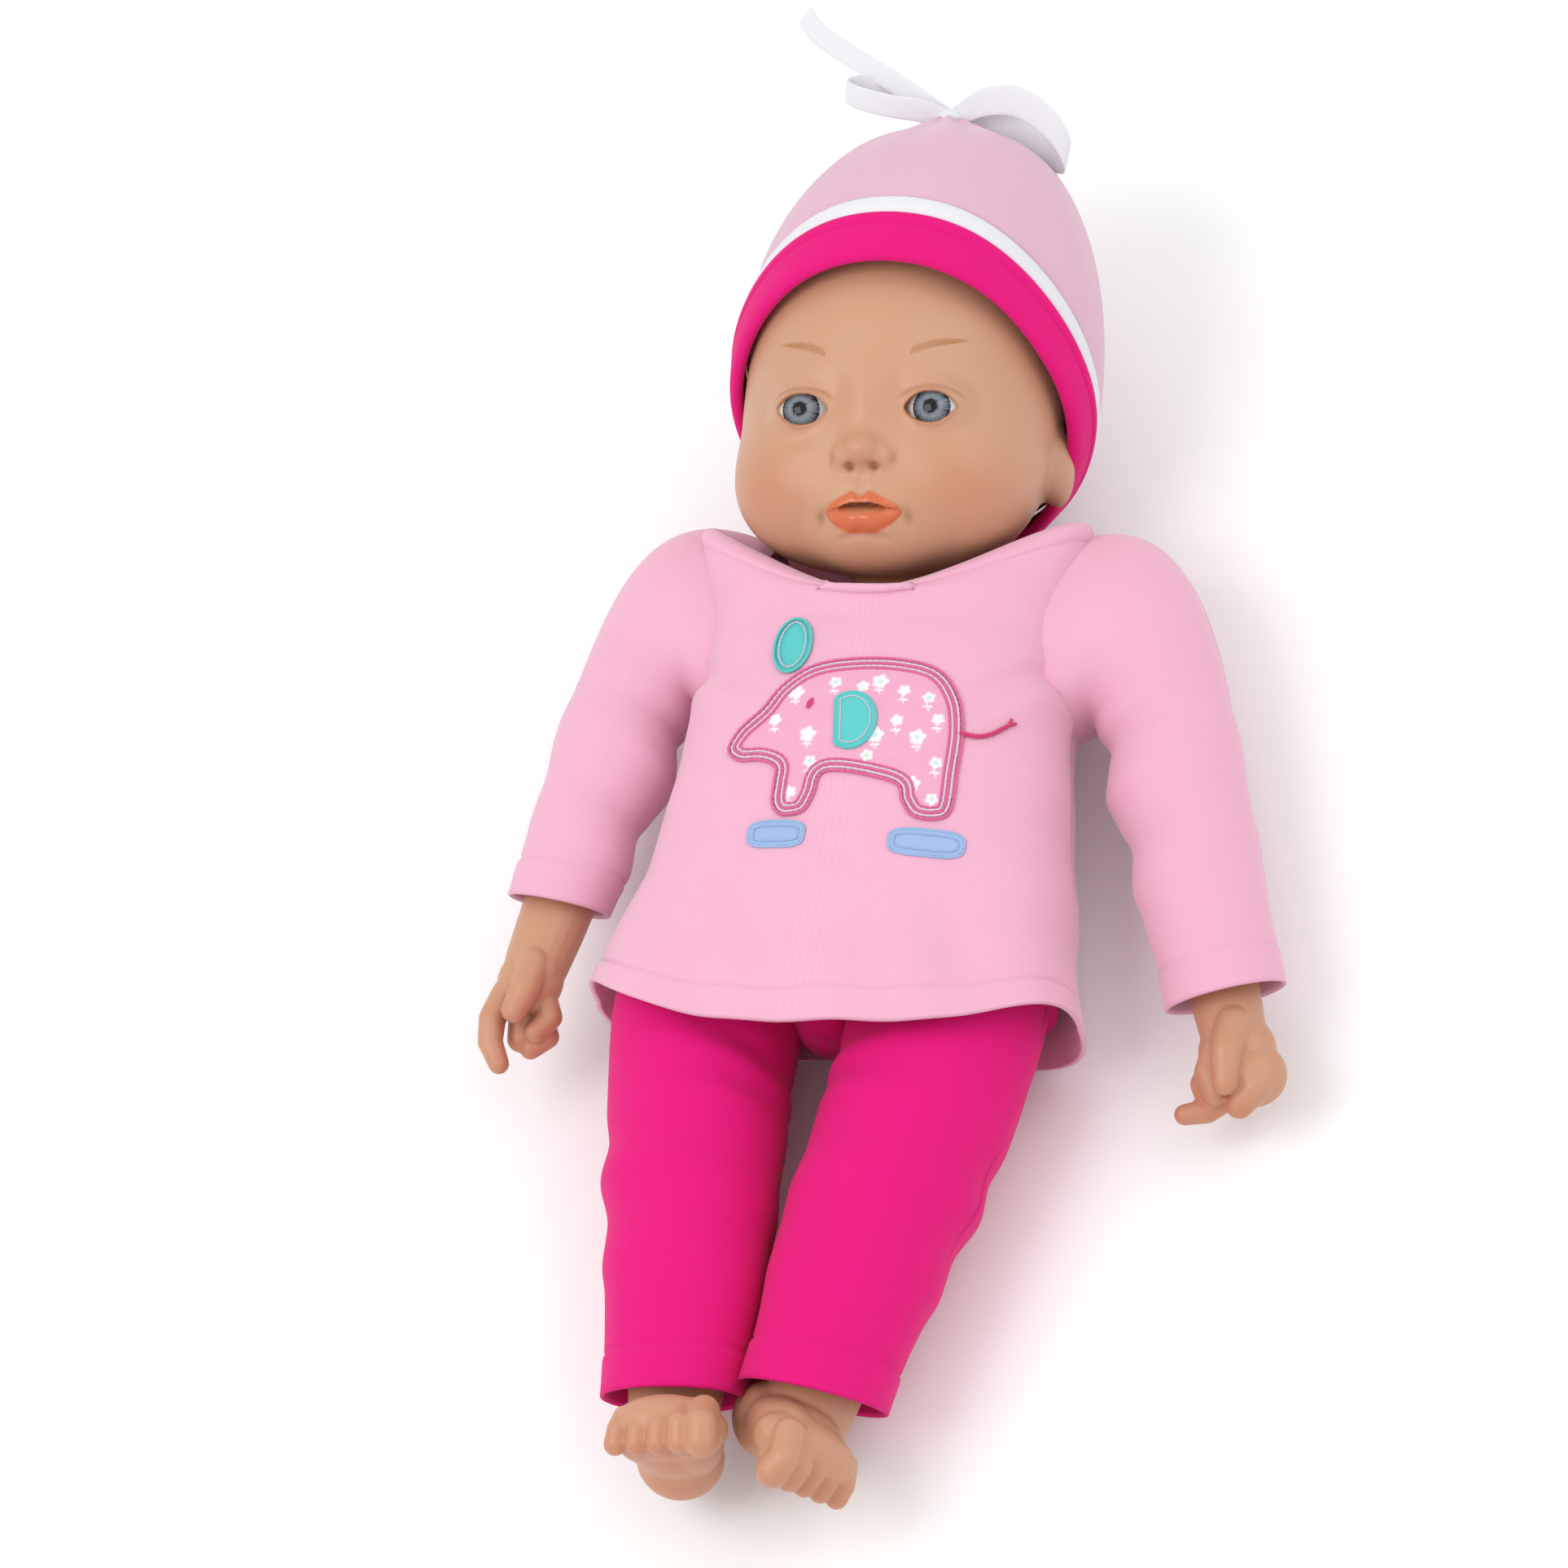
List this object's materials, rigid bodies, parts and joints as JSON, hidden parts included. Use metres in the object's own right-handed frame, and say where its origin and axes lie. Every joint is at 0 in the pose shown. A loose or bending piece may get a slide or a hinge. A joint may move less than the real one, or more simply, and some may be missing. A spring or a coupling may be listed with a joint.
{
  "type": "interactive baby doll",
  "caption": "Soft-bodied baby doll with vinyl head, forearms and lower legs, a hat, a top, trousers, and a sound module with a tummy button and a mouth switch.",
  "frame": {"origin": "on the flat back of the top, below the tummy, where the doll lies on its back", "axes": "+Y towards the crown of the head, +X towards the doll's left side, +Z out of the chest"},
  "size_m": [0.2727, 0.5135, 0.1348],
  "materials": {
    "vinyl_skin": "smooth painted vinyl",
    "pink_jersey": "fine knit",
    "hot_pink_jersey": "fine knit",
    "white_jersey": "fine knit",
    "hat_jersey": "fine knit",
    "body_cloth": "plain weave",
    "fibre_fill": "loose fibre",
    "eye_acrylic": "clear gloss",
    "case_plastic": "fine grain",
    "pink_plastic": "smooth",
    "tie_nylon": "smooth",
    "steel": "plated",
    "board_green": "lacquered",
    "cone_paper": "paper",
    "cell_wrap": "printed film",
    "applique": "stitched jersey"
  },
  "bodies": {
    "torso": {"body_cloth": "body_cloth", "torso_filling": "fibre_fill", "module_back": "case_plastic", "module_front": "case_plastic", "battery_cover": "case_plastic", "battery_screw": "steel", "battery_1": "cell_wrap", "battery_2": "cell_wrap", "battery_3": "cell_wrap", "circuit_board": "board_green", "speaker_frame": "steel", "speaker_magnet": "steel", "speaker_cone": "cone_paper", "button_spring": "steel", "shirt_body": "pink_jersey", "collar_band": "pink_jersey", "shirt_hem": "pink_jersey", "elephant_patch": "applique", "trouser_seat": "hot_pink_jersey"},
    "neck": {"neck_plug": "case_plastic", "neck_tie": "tie_nylon"},
    "head": {"head_shell": "vinyl_skin", "eye_right": "eye_acrylic", "eye_left": "eye_acrylic", "mouth_switch_case": "case_plastic", "mouth_spring": "steel", "hat_crown": "hat_jersey", "hat_piping": "white_jersey", "hat_brim": "hot_pink_jersey", "hat_bow": "white_jersey"},
    "plunger": {"mouth_plunger": "pink_plastic"},
    "button": {"tummy_button": "pink_plastic"},
    "switch": {"power_switch": "steel"},
    "arm_right": {"upper_arm_right": "body_cloth", "arm_tie_right": "tie_nylon", "forearm_right": "vinyl_skin", "sleeve_right": "pink_jersey", "sleeve_cuff_right": "pink_jersey"},
    "leg_right": {"thigh_right": "body_cloth", "leg_tie_right": "tie_nylon", "lower_leg_right": "vinyl_skin", "trouser_leg_right": "hot_pink_jersey", "trouser_cuff_right": "hot_pink_jersey"},
    "arm_left": {"upper_arm_left": "body_cloth", "arm_tie_left": "tie_nylon", "forearm_left": "vinyl_skin", "sleeve_left": "pink_jersey", "sleeve_cuff_left": "pink_jersey"},
    "leg_left": {"thigh_left": "body_cloth", "leg_tie_left": "tie_nylon", "lower_leg_left": "vinyl_skin", "trouser_leg_left": "hot_pink_jersey", "trouser_cuff_left": "hot_pink_jersey"}
  },
  "joints": [
    {"name": "neck_nod", "type": "hinge", "parent": "torso", "child": "neck", "pos_m": [-0.002, 0.07493, 0.03423], "axis": [1, 0, 0], "range_deg": [-4, 4]},
    {"name": "head_turn", "type": "hinge", "parent": "neck", "child": "head", "pos_m": [-0.002, 0.07493, 0.03423], "axis": [0, 0.9063, 0.4226], "range_deg": [-40, 40]},
    {"name": "mouth_press", "type": "slide", "parent": "head", "child": "plunger", "axis": [0, 0.4226, -0.9063], "range_m": [0, 0.0025], "stiffness_N_per_m": 300, "springref_m": -0.001, "deforming": ["mouth_spring"]},
    {"name": "right_shoulder", "type": "hinge", "parent": "torso", "child": "arm_right", "pos_m": [-0.0815, 0.083, 0.04], "axis": [-1, 0, 0], "range_deg": [-15, 140]},
    {"name": "left_shoulder", "type": "hinge", "parent": "torso", "child": "arm_left", "pos_m": [0.0815, 0.078, 0.04], "axis": [-1, 0, 0], "range_deg": [-15, 140]},
    {"name": "right_hip", "type": "hinge", "parent": "torso", "child": "leg_right", "pos_m": [-0.0445, -0.074, 0.0355], "axis": [-1, 0, 0], "range_deg": [-5, 80], "deforming": ["shirt_hem"]},
    {"name": "left_hip", "type": "hinge", "parent": "torso", "child": "leg_left", "pos_m": [0.0325, -0.074, 0.0355], "axis": [-1, 0, 0], "range_deg": [-5, 80], "deforming": ["shirt_hem"]},
    {"name": "tummy_press", "type": "slide", "parent": "torso", "child": "button", "axis": [0, 0, -1], "range_m": [0, 0.0025], "stiffness_N_per_m": 500, "springref_m": -0.001, "deforming": ["button_spring"]},
    {"name": "switch_slide", "type": "slide", "parent": "torso", "child": "switch", "axis": [1, 0, 0], "range_m": [0, 0.0044]}
  ]
}
